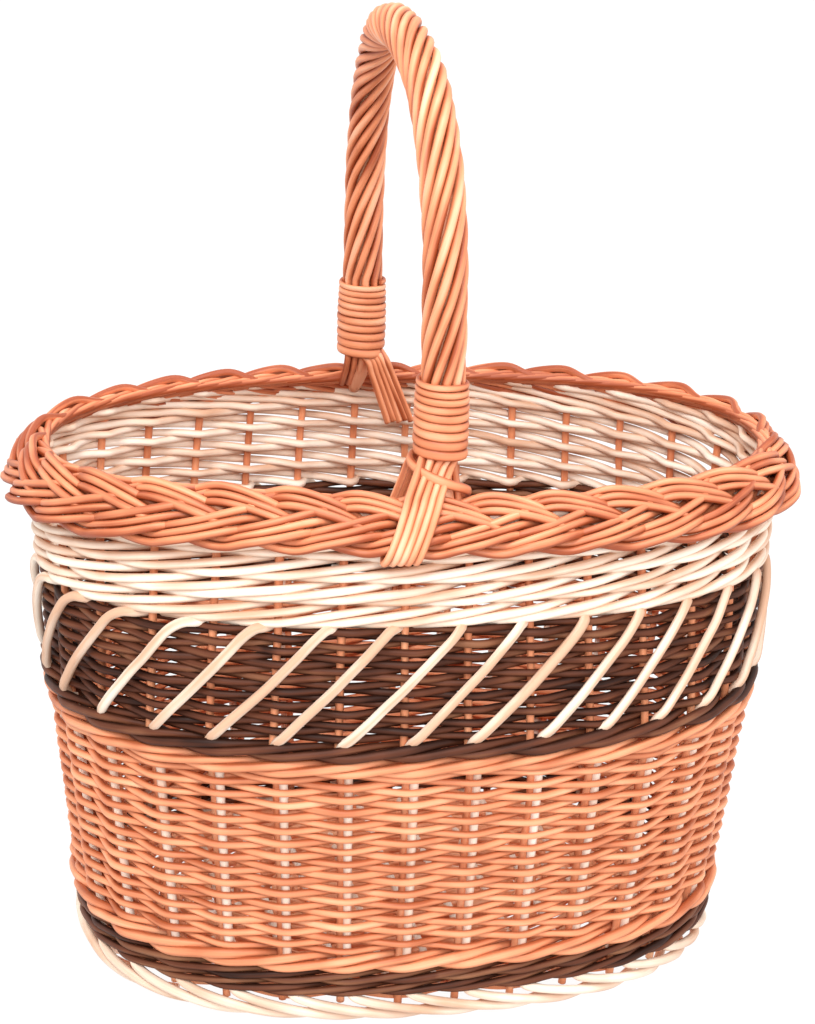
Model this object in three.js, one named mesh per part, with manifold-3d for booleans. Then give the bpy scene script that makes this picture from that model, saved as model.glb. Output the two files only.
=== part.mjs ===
// Foraging basket of woven willow with one fixed roped handle. Millimetres, +Z up, long axis along X.
import * as THREE from 'three';
import Module from 'manifold-3d';
import { mergeVertices } from 'three/addons/utils/BufferGeometryUtils.js';

// Plan of the wall, measured on the line of the stakes
const footHalfLength = 174;
const footHalfWidth = 127;
const kneeHalfLength = 191;
const kneeHalfWidth = 138;
const topHalfLength = 200;
const topHalfWidth = 130;
const planExponent = 2.4;
const endDip = 6;

// Heights of the zones, from the foot up
const footHeight = 18.5;
const bottomWaleHeight = 13.5;
const lowerWaleHeight = 14;
const mainRandingHeight = 96;
const upperWaleHeight = 15;
const midWaleHeight = 13;
const darkRandingHeight = 59;
const creamBandHeight = 41.5;
const creamBackDrop = 11;

// Rods of the wall
const stakeCount = 32;
const stakePhaseShare = 0.33;
const stakeRadius = 2.1;
const stakeTail = 14;
const waleThickness = 4.6;
const midWaleThickness = 5.2;
const randingThickness = 3.3;
const creamThickness = 4.6;
const diagonalRadius = 2.4;
const diagonalReachShare = 1.6;
const diagonalTuckHeight = 9;
const diagonalStations = 3;
const grooveShare = 0.72;
const clearance = 0.35;

// Base and foot
const baseThickness = 6.5;
const slathRadius = 2.7;
const longStickCount = 3;
const crossStickCount = 5;
const stickPitch = 15;
const crossSpreadShare = 0.62;
const footRingStations = 48;
const footRingHeight = 8.5;
const footRingHalfWidth = 4.2;
const footOffset = 2.4;
const footLegRadius = 2;
const footLegStartShare = 0.15;
const footLegEndShare = 0.8;

// Plaited border
const plaitPeriods = 6;
const plaitStrands = 5;
const plaitStations = 11;
const plaitHalfSwing = 11.8;
const plaitHalfLift = 4.4;
const plaitSharpness = 1.2;
const strandHalfWide = 4.4;
const strandHalfThick = 2.2;
const borderTilt = THREE.MathUtils.degToRad(40);
const borderOffset = 5;
const borderSeatShare = 0.61;
const borderCrestShare = 0.95;

// Handle
const handleOffset = -8.5;
const legGap = 0.54;
const legHeight = 119.5;
const archRise = 119;
const bowRadius = 6.2;
const bowTaperShare = 0.6;
const bowTuckDepth = 42;
const bowWallGap = 2.6;
const rodCount = 10;
const rodRadius = 2.25;
const rodLift = 0.8;
const twistSlots = 25;
const twistTopGain = 0.9;
const rodSteps = 25;
const outerRodCount = 5;
const outerLean = 22;
const innerLean = 20;
const innerTuckDepth = 9;
const rodBendHeight = 6;
const fanDrop = 3.5;

// Whippings round the feet of the handle
const whipRadius = 1.55;
const whipTurns = 9;
const whipGap = 1.2;
const whipSteps = 10;
const strapTurns = 0.75;
const whipStartShare = -0.375;
const strapDrop = 6;
const strapSwell = 1.2;

// Section sides
const roundSides = 5;
const bowSides = 8;
const bowSteps = 20;
const planSteps = 720;

// Colours
const buffColour = 0xe39a66;
const creamColour = 0xf0dcc0;
const brownColour = 0x54403a;
const handleColour = 0xd98a55;
const willowRoughness = 0.6;

// Derived heights
const bottomWaleZ = footHeight;
const lowerWaleZ = bottomWaleZ + bottomWaleHeight;
const mainRandingZ = lowerWaleZ + lowerWaleHeight;
const upperWaleZ = mainRandingZ + mainRandingHeight;
const midWaleZ = upperWaleZ + upperWaleHeight;
const darkRandingZ = midWaleZ + midWaleHeight;
const creamBandZ = darkRandingZ + darkRandingHeight;
const wallTopZ = creamBandZ + creamBandHeight;
const kneeZ = midWaleZ;
const baseTopZ = footHeight - clearance;
const baseBottomZ = baseTopZ - baseThickness;
const baseMidZ = (baseTopZ + baseBottomZ) / 2;
const plaitHalfWidth = plaitHalfSwing + strandHalfWide;
const plaitHalfDepth = plaitHalfLift + strandHalfThick;
const plaitReach = Math.sin(borderTilt) * plaitHalfWidth + Math.cos(borderTilt) * plaitHalfDepth;
const borderZ = wallTopZ + clearance + borderSeatShare * plaitReach;
const archZ = wallTopZ + legHeight;
const legHalfSpan = topHalfWidth + borderOffset - plaitReach - bowRadius - legGap;
const wallInset = stakeRadius + creamThickness;
const bowTuckShift = topHalfWidth - wallInset - bowWallGap - bowRadius * bowTaperShare - legHalfSpan;
const ropeRadius = bowRadius + rodLift + rodRadius;
const whipCentreRadius = ropeRadius + rodRadius + clearance + whipRadius;
const whipPitch = 2 * whipRadius + whipGap;
const whipFootDrop = strapTurns * whipPitch + strapDrop + 2 * whipRadius + clearance;
const crestZ = borderZ + plaitReach * borderCrestShare;
const bendZ = crestZ + fanDrop + clearance;
const whipBottomZ = bendZ + whipFootDrop;
const whipTopZ = whipBottomZ + whipTurns * whipPitch;
const diagonalOut = stakeRadius + randingThickness + diagonalRadius + 2 * clearance;

const wasm = await Module();
wasm.setup();

// Surfaces built from rings of points

function signedVolume(positions, indices) {
  const a = new THREE.Vector3();
  const b = new THREE.Vector3();
  const c = new THREE.Vector3();
  let volume = 0;
  for (let i = 0; i < indices.length; i += 3) {
    a.fromArray(positions, 3 * indices[i]);
    b.fromArray(positions, 3 * indices[i + 1]);
    c.fromArray(positions, 3 * indices[i + 2]);
    volume += a.dot(b.cross(c));
  }
  return volume;
}

function loft(rings, closed) {
  const sides = rings[0].length;
  const positions = rings.flat().flatMap((point) => point.toArray());
  const indices = [];
  const spans = closed ? rings.length : rings.length - 1;
  for (let i = 0; i < spans; i += 1) {
    const here = i * sides;
    const next = ((i + 1) % rings.length) * sides;
    for (let j = 0; j < sides; j += 1) {
      const k = (j + 1) % sides;
      indices.push(here + j, here + k, next + k);
      indices.push(here + j, next + k, next + j);
    }
  }
  if (!closed) {
    const last = (rings.length - 1) * sides;
    for (let j = 1; j < sides - 1; j += 1) {
      indices.push(0, j + 1, j);
      indices.push(last, last + j, last + j + 1);
    }
  }
  if (signedVolume(positions, indices) < 0) {
    indices.reverse();
  }
  const geometry = new THREE.BufferGeometry();
  geometry.setAttribute('position', new THREE.Float32BufferAttribute(positions, 3));
  geometry.setIndex(indices);
  return geometry;
}

// A rod swept along points; guide gives the direction of the section's thin side
function sweep(points, guide, thick, wide, sides, closed) {
  const count = points.length;
  const rings = points.map((point, i) => {
    const before = closed ? points[(i + count - 1) % count] : points[Math.max(i - 1, 0)];
    const after = closed ? points[(i + 1) % count] : points[Math.min(i + 1, count - 1)];
    const along = after.clone().sub(before).normalize();
    const side = new THREE.Vector3().crossVectors(along, guide(i)).normalize();
    const face = new THREE.Vector3().crossVectors(side, along).normalize();
    const ring = [];
    for (let j = 0; j < sides; j += 1) {
      const angle = (2 * Math.PI * j) / sides;
      ring.push(point.clone()
        .addScaledVector(face, thick * Math.cos(angle))
        .addScaledVector(side, wide * Math.sin(angle)));
    }
    return ring;
  });
  return loft(rings, closed);
}

function toManifold(geometry) {
  const bare = geometry.clone();
  bare.deleteAttribute('normal');
  bare.deleteAttribute('uv');
  const merged = mergeVertices(bare);
  return new wasm.Manifold(new wasm.Mesh({
    numProp: 3,
    vertProperties: merged.attributes.position.array,
    triVerts: merged.index.array,
  }));
}

function joined(geometries) {
  const mesh = wasm.Manifold.union(geometries.map(toManifold)).getMesh();
  const geometry = new THREE.BufferGeometry();
  geometry.setAttribute('position', new THREE.BufferAttribute(mesh.vertProperties, 3));
  geometry.setIndex(new THREE.BufferAttribute(mesh.triVerts, 1));
  return geometry;
}

// Plan of the wall

function between(z, foot, knee, top) {
  if (z < kneeZ) {
    return foot + ((knee - foot) * (z - baseMidZ)) / (kneeZ - baseMidZ);
  }
  return knee + ((top - knee) * Math.min(z - kneeZ, wallTopZ - kneeZ)) / (wallTopZ - kneeZ);
}

function planAt(angle, z) {
  const length = between(z, footHalfLength, kneeHalfLength, topHalfLength);
  const width = between(z, footHalfWidth, kneeHalfWidth, topHalfWidth);
  const cos = Math.cos(angle);
  const sin = Math.sin(angle);
  const sum = Math.abs(cos / length) ** planExponent + Math.abs(sin / width) ** planExponent;
  const reach = sum ** (-1 / planExponent);
  const x = reach * cos;
  const y = reach * sin;
  const normalX = (Math.sign(x) * Math.abs(x / length) ** (planExponent - 1)) / length;
  const normalY = (Math.sign(y) * Math.abs(y / width) ** (planExponent - 1)) / width;
  return { at: new THREE.Vector3(x, y, z), normal: new THREE.Vector3(normalX, normalY, 0).normalize() };
}

function planShares() {
  const lengths = [0];
  let last = planAt(0, kneeZ).at;
  for (let i = 1; i <= planSteps; i += 1) {
    const point = planAt((2 * Math.PI * i) / planSteps, kneeZ).at;
    lengths.push(lengths[i - 1] + point.distanceTo(last));
    last = point;
  }
  return lengths.map((length) => length / lengths[planSteps]);
}

const shareTable = planShares();

function angleOf(share) {
  const whole = Math.floor(share);
  const part = share - whole;
  let i = 0;
  while (i < planSteps - 1 && shareTable[i + 1] <= part) {
    i += 1;
  }
  const inner = (part - shareTable[i]) / (shareTable[i + 1] - shareTable[i]);
  return (2 * Math.PI * (i + inner)) / planSteps + 2 * Math.PI * whole;
}

// A point of the wall: share of the way round, height, and distance out from the stake line
function wallPoint(share, z, out) {
  const angle = angleOf(share);
  const plan = planAt(angle, z);
  const settled = THREE.MathUtils.clamp((z - creamBandZ) / creamBandHeight, 0, 1);
  const point = plan.at.addScaledVector(plan.normal, out);
  point.z -= endDip * settled * Math.cos(angle) ** 2;
  return point;
}

function wallNormal(share, z) {
  return planAt(angleOf(share), z).normal;
}

function stakeShare(i) {
  return (i + stakePhaseShare) / stakeCount;
}

// Upright stakes, each with its tail let into the base
function stake(i) {
  const share = stakeShare(i);
  const normal = wallNormal(share, kneeZ);
  const across = new THREE.Vector3(-normal.y, normal.x, 0);
  const points = [
    wallPoint(share, baseMidZ, -stakeTail),
    wallPoint(share, baseMidZ, 0),
    wallPoint(share, kneeZ, 0),
    wallPoint(share, creamBandZ, 0),
    wallPoint(share, wallTopZ, 0),
  ];
  return sweep(points, () => across, stakeRadius, stakeRadius, roundSides, false);
}

// The cream weave starts lower at the back, where it has one round more
function creamLowZ(share) {
  const { y } = wallPoint(share, creamBandZ, 0);
  return creamBandZ - (creamBackDrop / 2) * (1 + y / topHalfWidth);
}

function level(z) {
  return () => z;
}

// A woven band: it passes outside one stake and inside the next
function band(bottomAt, topAt, thickness, phase) {
  const rings = [];
  for (let j = 0; j < 2 * stakeCount; j += 1) {
    const atStake = j % 2 === 0;
    const side = (j / 2 + phase) % 2 === 0 ? 1 : -1;
    const middle = atStake ? side * (stakeRadius + clearance + thickness / 2) : 0;
    const share = stakeShare(j / 2);
    const low = bottomAt(share) + clearance / 2;
    const high = topAt(share) - clearance / 2;
    const half = thickness / 2;
    rings.push([
      wallPoint(share, low, middle + half * grooveShare),
      wallPoint(share, (low + high) / 2, middle + half),
      wallPoint(share, high, middle + half * grooveShare),
      wallPoint(share, high, middle - half),
      wallPoint(share, low, middle - half),
    ]);
  }
  return loft(rings, true);
}

// Slanting cream rods that lie over the dark weave and run on into the cream band
function diagonal(i) {
  const points = [];
  const shares = [];
  const lowZ = darkRandingZ + diagonalRadius;
  const lowShare = stakeShare(i);
  const highShare = lowShare + diagonalReachShare / stakeCount;
  const highZ = creamLowZ(highShare) + diagonalRadius;
  for (let k = 0; k <= diagonalStations; k += 1) {
    const part = k / diagonalStations;
    shares.push(lowShare + (highShare - lowShare) * part);
    points.push(wallPoint(shares[k], lowZ + (highZ - lowZ) * part, diagonalOut));
  }
  shares.push(stakeShare(i + 1 / 2 + Math.floor(diagonalReachShare)));
  points.push(wallPoint(shares[shares.length - 1], highZ + diagonalTuckHeight, 0));
  const guide = (k) => wallNormal(shares[k], kneeZ);
  return sweep(points, guide, diagonalRadius, diagonalRadius, roundSides - 1, false);
}

function creamBand() {
  const parts = [band(creamLowZ, level(wallTopZ), creamThickness, 1)];
  for (let i = 0; i < stakeCount; i += 1) {
    parts.push(diagonal(i));
  }
  return joined(parts);
}

// Base: a woven disc notched for the stake tails, over a slath of crossing sticks

function baseWeave() {
  const shape = new THREE.Shape();
  const half = stakeRadius + clearance;
  const notch = stakeTail + clearance;
  for (let i = 0; i < stakeCount; i += 1) {
    const share = stakeShare(i);
    const mouth = wallPoint(share, baseMidZ, 0);
    const normal = wallNormal(share, kneeZ);
    const across = new THREE.Vector3(-normal.y, normal.x, 0);
    const corners = [
      mouth.clone().addScaledVector(across, -half),
      mouth.clone().addScaledVector(across, -half).addScaledVector(normal, -notch),
      mouth.clone().addScaledVector(across, half).addScaledVector(normal, -notch),
      mouth.clone().addScaledVector(across, half),
      wallPoint(stakeShare(i + 1 / 2), baseMidZ, 0),
    ];
    corners.forEach((corner, j) => {
      if (i === 0 && j === 0) {
        shape.moveTo(corner.x, corner.y);
      } else {
        shape.lineTo(corner.x, corner.y);
      }
    });
  }
  const geometry = new THREE.ExtrudeGeometry(shape, { depth: baseThickness, bevelEnabled: false });
  geometry.translate(0, 0, baseBottomZ);
  return geometry;
}

function stick(from, to) {
  return sweep([from, to], () => new THREE.Vector3(0, 0, 1), slathRadius, slathRadius, roundSides, false);
}

function baseSlath() {
  const z = baseBottomZ - clearance - slathRadius;
  const edge = footRingHalfWidth + slathRadius;
  const parts = [];
  for (let i = 0; i < longStickCount; i += 1) {
    const y = (i - (longStickCount - 1) / 2) * stickPitch;
    const reach = footHalfLength * (1 - Math.abs(y / footHalfWidth) ** planExponent) ** (1 / planExponent);
    const x = reach - edge;
    parts.push(stick(new THREE.Vector3(-x, y, z), new THREE.Vector3(x, y, z)));
  }
  for (let i = 0; i < crossStickCount; i += 1) {
    const part = (2 * i) / (crossStickCount - 1) - 1;
    const x = part * crossSpreadShare * footHalfLength;
    const reach = footHalfWidth * (1 - Math.abs(x / footHalfLength) ** planExponent) ** (1 / planExponent);
    const y = reach - edge;
    parts.push(stick(new THREE.Vector3(x, -y, z), new THREE.Vector3(x, y, z)));
  }
  return joined(parts);
}

function footRing() {
  const rings = [];
  const count = footRingStations;
  const shoulder = footRingHeight / 2;
  for (let j = 0; j < count; j += 1) {
    const share = j / count;
    const place = (out, z) => {
      const point = wallPoint(share, baseMidZ, footOffset + out);
      point.z = z;
      return point;
    };
    rings.push([
      place(-footRingHalfWidth, 0),
      place(footRingHalfWidth, 0),
      place(footRingHalfWidth, shoulder),
      place(0, footRingHeight),
      place(-footRingHalfWidth, shoulder),
    ]);
  }
  return loft(rings, true);
}

function footLeg(i) {
  const lowShare = stakeShare(i + footLegStartShare);
  const highShare = stakeShare(i + footLegEndShare);
  const out = stakeRadius + clearance + footLegRadius;
  const low = wallPoint(lowShare, baseMidZ, footOffset);
  low.z = footRingHeight / 2;
  const high = wallPoint(highShare, baseMidZ, out);
  high.z = footHeight - footLegRadius;
  const guide = () => wallNormal(highShare, baseMidZ);
  return sweep([low, high], guide, footLegRadius, footLegRadius, roundSides - 1, false);
}

function footBorder() {
  const parts = [footRing()];
  for (let i = 0; i < stakeCount; i += 1) {
    parts.push(footLeg(i));
  }
  return joined(parts);
}

// Border: five strands plaited over two and under two, tilted outward

function borderFrame(share) {
  const normal = wallNormal(share, wallTopZ);
  const down = new THREE.Vector3(0, 0, -Math.sin(borderTilt)).addScaledVector(normal, Math.cos(borderTilt));
  const face = new THREE.Vector3(0, 0, Math.cos(borderTilt)).addScaledVector(normal, Math.sin(borderTilt));
  const centre = wallPoint(share, wallTopZ, borderOffset);
  centre.z += borderZ - wallTopZ;
  return { centre, down, face };
}

function plaitRise(phase) {
  return Math.tanh(plaitSharpness * Math.sin(2 * phase)) / Math.tanh(plaitSharpness);
}

function borderStrand(index) {
  const count = plaitPeriods * plaitStations;
  const points = [];
  const faces = [];
  for (let j = 0; j < count; j += 1) {
    const frame = borderFrame(j / count);
    const phase = 2 * Math.PI * (j / plaitStations + index / plaitStrands);
    points.push(frame.centre
      .addScaledVector(frame.down, plaitHalfSwing * Math.sin(phase))
      .addScaledVector(frame.face, -plaitHalfLift * plaitRise(phase)));
    faces.push(frame.face);
  }
  return sweep(points, (j) => faces[j], strandHalfThick, strandHalfWide, roundSides, true);
}

// Handle axis in the YZ plane, from the front leg over the top to the back leg

function handleAxis() {
  const axis = [];
  const archSteps = planSteps / 4;
  const straight = archZ - whipTopZ;
  const legSteps = planSteps / 12;
  for (let i = 0; i < legSteps; i += 1) {
    axis.push({ y: -legHalfSpan, z: whipTopZ + (straight * i) / legSteps, turn: 0 });
  }
  for (let i = 0; i <= archSteps; i += 1) {
    const angle = (Math.PI * i) / archSteps;
    const y = -legHalfSpan * Math.cos(angle);
    const z = archZ + archRise * Math.sin(angle);
    axis.push({ y, z, turn: Math.atan2(legHalfSpan * Math.sin(angle), archRise * Math.cos(angle)) });
  }
  for (let i = 1; i <= legSteps; i += 1) {
    axis.push({ y: legHalfSpan, z: archZ - (straight * i) / legSteps, turn: Math.PI });
  }
  let length = 0;
  axis.forEach((point, i) => {
    const last = axis[Math.max(i - 1, 0)];
    length += Math.hypot(point.y - last.y, point.z - last.z);
    point.length = length;
  });
  return axis;
}

const axis = handleAxis();
const axisLength = axis[axis.length - 1].length;

function axisAt(part) {
  const want = part * axisLength;
  let i = 1;
  while (i < axis.length - 1 && axis[i].length < want) {
    i += 1;
  }
  const a = axis[i - 1];
  const b = axis[i];
  const inner = (want - a.length) / (b.length - a.length);
  const mix = (from, to) => from + (to - from) * inner;
  const turn = mix(a.turn, b.turn);
  return {
    at: new THREE.Vector3(handleOffset, mix(a.y, b.y), mix(a.z, b.z)),
    out: new THREE.Vector3(0, -Math.cos(turn), Math.sin(turn)),
  };
}

// Core rod of the handle, tapered and let down inside the border at both ends
function handleBow() {
  const end = (side, deep, shift, radius) => ({
    at: new THREE.Vector3(handleOffset, side * (legHalfSpan + shift), deep),
    out: new THREE.Vector3(0, side, 0),
    radius,
  });
  const tipZ = wallTopZ - bowTuckDepth;
  const throatZ = borderZ - plaitReach;
  const tip = bowRadius * bowTaperShare;
  const stations = [end(-1, tipZ, bowTuckShift, tip), end(-1, throatZ, 0, bowRadius)];
  for (let i = 0; i <= bowSteps; i += 1) {
    stations.push({ ...axisAt(i / bowSteps), radius: bowRadius });
  }
  stations.push(end(1, throatZ, 0, bowRadius), end(1, tipZ, bowTuckShift, tip));
  const rings = stations.map((station, i) => {
    const before = stations[Math.max(i - 1, 0)].at;
    const after = stations[Math.min(i + 1, stations.length - 1)].at;
    const along = after.clone().sub(before).normalize();
    const side = new THREE.Vector3(1, 0, 0);
    const face = new THREE.Vector3().crossVectors(side, along);
    const ring = [];
    for (let j = 0; j < bowSides; j += 1) {
      const angle = (2 * Math.PI * j) / bowSides;
      ring.push(station.at.clone()
        .addScaledVector(face, station.radius * Math.cos(angle))
        .addScaledVector(side, station.radius * Math.sin(angle)));
    }
    return ring;
  });
  return loft(rings, false);
}

// The foot of one wrapping rod, from under the whipping to its tucked end
function rodFoot(slot, side) {
  const slotAngle = (2 * Math.PI) / rodCount;
  const rowPitch = ropeRadius * slotAngle;
  const outerMiddle = (outerRodCount - 1) / 2;
  const angle = (slot - outerMiddle) * slotAngle;
  const place = (x, out, z) => new THREE.Vector3(handleOffset + x, side * (legHalfSpan + out), z);
  const startX = ropeRadius * Math.sin(angle);
  const startOut = ropeRadius * Math.cos(angle);
  const points = [place(startX, startOut, whipBottomZ), place(startX, startOut, bendZ)];
  if (slot < outerRodCount) {
    const rowX = (slot - outerMiddle) * rowPitch;
    const proud = plaitHalfDepth + rodRadius + clearance;
    const edge = plaitHalfWidth + rodRadius + clearance;
    const centreOut = topHalfWidth + borderOffset - legHalfSpan;
    points.push(place(rowX, startOut, bendZ - fanDrop));
    const route = [
      [-plaitHalfSwing, proud],
      [plaitHalfSwing, proud],
      [edge, plaitHalfDepth / 2],
      [edge, -plaitHalfDepth / 2],
    ];
    route.forEach(([down, lift], i) => {
      const part = (i + 1) / route.length;
      const out = centreOut + down * Math.cos(borderTilt) + lift * Math.sin(borderTilt);
      const z = borderZ - down * Math.sin(borderTilt) + lift * Math.cos(borderTilt);
      points.push(place(rowX + side * outerLean * part, out, z));
    });
    return points;
  }
  const rowX = (outerMiddle + rodCount / 2 - slot) * rowPitch;
  const endZ = wallTopZ - innerTuckDepth;
  const rowZ = bendZ - rodBendHeight;
  points.push(place(rowX, -ropeRadius, rowZ));
  points.push(place(rowX + side * innerLean, -ropeRadius, endZ));
  return points;
}

function handleRod(index) {
  const slotAngle = (2 * Math.PI) / rodCount;
  const outerMiddle = (outerRodCount - 1) / 2;
  const weight = (part) => 1 + twistTopGain * Math.sin(Math.PI * part);
  const turned = [0];
  for (let i = 1; i <= rodSteps; i += 1) {
    turned.push(turned[i - 1] + weight((i - 1 / 2) / rodSteps));
  }
  const body = turned.map((amount, i) => {
    const angle = slotAngle * (index - outerMiddle + (twistSlots * amount) / turned[rodSteps]);
    const station = axisAt(i / rodSteps);
    const point = station.at.addScaledVector(station.out, ropeRadius * Math.cos(angle));
    point.x += ropeRadius * Math.sin(angle);
    return point;
  });
  const front = rodFoot(index, -1).reverse();
  const back = rodFoot((index + twistSlots) % rodCount, 1);
  const points = [...front, ...body, ...back];
  const sideways = new THREE.Vector3(1, 0, 0);
  return sweep(points, () => sideways, rodRadius, rodRadius, roundSides, false);
}

// One unbroken winding round a leg, its last half turn let down as a slanting strap
function whipping(side, name) {
  const steps = Math.round((whipTurns + strapTurns) * whipSteps);
  const points = [];
  for (let i = 0; i <= steps; i += 1) {
    const turn = i / whipSteps;
    const strap = Math.max(turn - whipTurns, 0) / strapTurns;
    const angle = 2 * Math.PI * (whipStartShare + turn);
    const radius = whipCentreRadius + strapSwell * Math.sin(Math.PI * strap);
    const x = handleOffset - side * radius * Math.sin(angle);
    const y = side * (legHalfSpan + radius * Math.cos(angle));
    points.push(new THREE.Vector3(x, y, whipTopZ - whipRadius - whipPitch * turn - strapDrop * strap));
  }
  const up = new THREE.Vector3(0, 0, 1);
  console.log(name, 'least gap to itself', leastGap(points).toFixed(2), 'mm');
  return sweep(points, () => up, whipRadius, whipRadius, roundSides, false);
}

// Least gap between turns, measured between points more than half a turn apart
function leastGap(points) {
  let least = Infinity;
  points.forEach((point, i) => {
    for (let j = i + Math.ceil(whipSteps / 2); j < points.length; j += 1) {
      least = Math.min(least, point.distanceTo(points[j]));
    }
  });
  return least - 2 * whipRadius;
}

// Materials and assembly

function willow(name, colour) {
  return new THREE.MeshStandardMaterial({ name, color: colour, roughness: willowRoughness, metalness: 0 });
}

const buff = willow('willow_buff', buffColour);
const cream = willow('willow_cream', creamColour);
const brown = willow('willow_brown', brownColour);
const steamed = willow('willow_handle', handleColour);

const basket = new THREE.Group();
basket.name = 'mushroom_foraging_basket';

function add(name, geometry, material) {
  const mesh = new THREE.Mesh(geometry, material);
  mesh.name = name;
  basket.add(mesh);
}

function numbered(stem, index) {
  return `${stem}_${String(index + 1).padStart(2, '0')}`;
}

add('foot_border', footBorder(), cream);
add('base_slath', baseSlath(), cream);
add('base_weave', baseWeave(), buff);
for (let i = 0; i < stakeCount; i += 1) {
  add(numbered('stake', i), stake(i), buff);
}
add('bottom_wale', band(level(bottomWaleZ), level(lowerWaleZ), waleThickness, 0), brown);
add('lower_wale', band(level(lowerWaleZ), level(mainRandingZ), waleThickness, 1), buff);
add('main_randing', band(level(mainRandingZ), level(upperWaleZ), randingThickness, 0), buff);
add('upper_wale', band(level(upperWaleZ), level(midWaleZ), waleThickness, 1), buff);
add('mid_wale', band(level(midWaleZ), level(darkRandingZ), midWaleThickness, 0), brown);
add('dark_randing', band(level(darkRandingZ), creamLowZ, randingThickness, 1), brown);
add('cream_band', creamBand(), cream);
for (let i = 0; i < plaitStrands; i += 1) {
  add(numbered('border_strand', i), borderStrand(i), steamed);
}
add('handle_bow', handleBow(), steamed);
for (let i = 0; i < rodCount; i += 1) {
  add(numbered('handle_rod', i), handleRod(i), steamed);
}
add('whipping_front', whipping(-1, 'whipping_front'), steamed);
add('whipping_back', whipping(1, 'whipping_back'), steamed);

export default basket;
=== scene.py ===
"""Looks of the foraging basket: every willow rod is a tube of its own, woven as on the real one."""

import bpy
import numpy as np
from mathutils import Matrix, Vector


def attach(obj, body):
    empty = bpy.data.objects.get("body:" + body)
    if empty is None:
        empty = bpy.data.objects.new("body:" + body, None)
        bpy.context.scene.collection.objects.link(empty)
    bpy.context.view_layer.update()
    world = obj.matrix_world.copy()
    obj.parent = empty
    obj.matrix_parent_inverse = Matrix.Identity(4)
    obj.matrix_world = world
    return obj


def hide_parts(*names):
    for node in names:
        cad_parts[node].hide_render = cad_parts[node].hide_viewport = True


# Lengths are in millimetres and turn into metres when a mesh is made.
# A DRIFT, SWAY or THICKNESS pair is the size of a slow random change along a rod and its number of knots.
MM = 0.001
UP = np.array((0, 0, 1.0))
SEED = 20
rng = np.random.default_rng(SEED)

# Plan of the wall on the line of the stakes
FOOT_HALF = (174.0, 127.0)
KNEE_HALF = (191.0, 138.0)
TOP_HALF = (200.0, 130.0)
PLAN_EXPONENT = 2.4
TOP_EXPONENT = 2.2
PLAN_POINTS = 2881
END_DIP = 4.0
CORNER_RISE = 5.5
CORNER_SHARPNESS = 1.5
STAKES = 32
STAKE_PHASE = 0.33
STEPS_PER_STAKE = 10

# Heights of the zones
BASE_Z = 14.9
BOTTOM_WALE_Z = 17.4
LOWER_WALE_Z = 32.4
RANDING_Z = 42.9
UPPER_WALE_Z = 148.0
KNEE_Z = 157.0
MID_WALE_Z = 157.3
DARK_Z = 166.8
CREAM_Z = 226.6
CREAM_BACK_DROP = 8.2
WALL_TOP = 270.5

# Tubes
SIDES = 8
ROUND_SIDES = 10
FINE_SIDES = 12
BASE_SIDES = 6
SPLINE_STEPS = 8
CURVE_STEPS = 40
GRAIN_SPAN = 900.0
GROOVE_SHARPNESS = 3

# Stakes: they come out of the bottom, and above the knee they stand further to one side
STAKE_RADIUS = 2.2
STAKE_ENTRY = (-15.0, -10.0, -5.0, -1.5)
STAKE_START = 3.0
STAKE_RUN_ON = 3.0
STAKE_POINTS = 70
STAKE_SMOOTHING = 3
STAKE_SIDE_Z = (150.0, 160.0, WALL_TOP)
STAKE_SIDE = (-2.0, -4.0, -5.5)
STAKE_IN = -0.5
STAKE_SWAY = (0.25, 12)
STAKE_THICKNESS = (0.03, 20)
STAKE_TONE_Z = (150.0, 175.0)
STAKE_TONE = (0.6, 0.1)
STAKE_TONE_SPREAD = (-0.1, 0.2)
STUB_Z = 11.0
STUB_SPREAD = 1.5
STUB_RISE = 6.0
STUB_POINTS = 4

# Cream rods that line the stakes and roll into the foot: stakes along, height, distance out
LINER_RADIUS = 2.45
LINER_SIDE = 1.5
LINER_OUT = 0.9
LINER_RUN_ON = 6.0
LINER_PATH = (
    (0.0, MID_WALE_Z + LINER_RUN_ON, LINER_OUT), (0.0, 120.0, LINER_OUT), (0.0, 80.0, LINER_OUT),
    (0.0, 50.0, LINER_OUT), (0.0, 34.0, 1.2), (0.0, 25.0, 1.6), (0.02, 20.0, 2.6), (0.12, 16.8, 4.2),
    (0.38, 14.2, 5.6), (0.75, 11.6, 6.0), (1.15, 8.9, 5.6), (1.55, 6.4, 4.2), (1.95, 4.2, 1.6),
    (2.4, 2.9, -3.2), (2.8, 2.7, -7.6))
LINER_SWAY = (0.2, 6)
LINER_THICKNESS = (0.03, 16)
FOOT_FADE_Z = (8.0, 20.0)
FOOT_SWELL_Z = (12.0, 20.0)
FOOT_SWELL = (1.08, 1.0)
FOOT_CLEARANCE = 1.12
# painted light and shade: cream rods are darker low in the foot, which the glowing floor lights from below,
# and lighter higher up, where the liners lie in shaded recesses
FOOT_TONE_Z = (14.0, 30.0)
FOOT_TONE = (0.1, 0.62)
FOOT_TONE_SPREAD = 0.15

# Woven bands
HAIR = 0.1
BEDDING = 0.9
RING_TONE = (0.1, 0.9)
RANDING_RADIUS = 2.08
RANDING_ROWS = 28
DARK_RADIUS = 2.2
DARK_ROWS = 17
RANDING_SQUARENESS = 0.1
RANDING_SQUEEZE = 0.06
RANDING_OUT_DRIFT = (0.12, 90)
RANDING_Z_DRIFT = (0.24, 46)
DARK_Z_DRIFT = (0.34, 46)
RANDING_THICKNESS = (0.06, 14)

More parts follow.
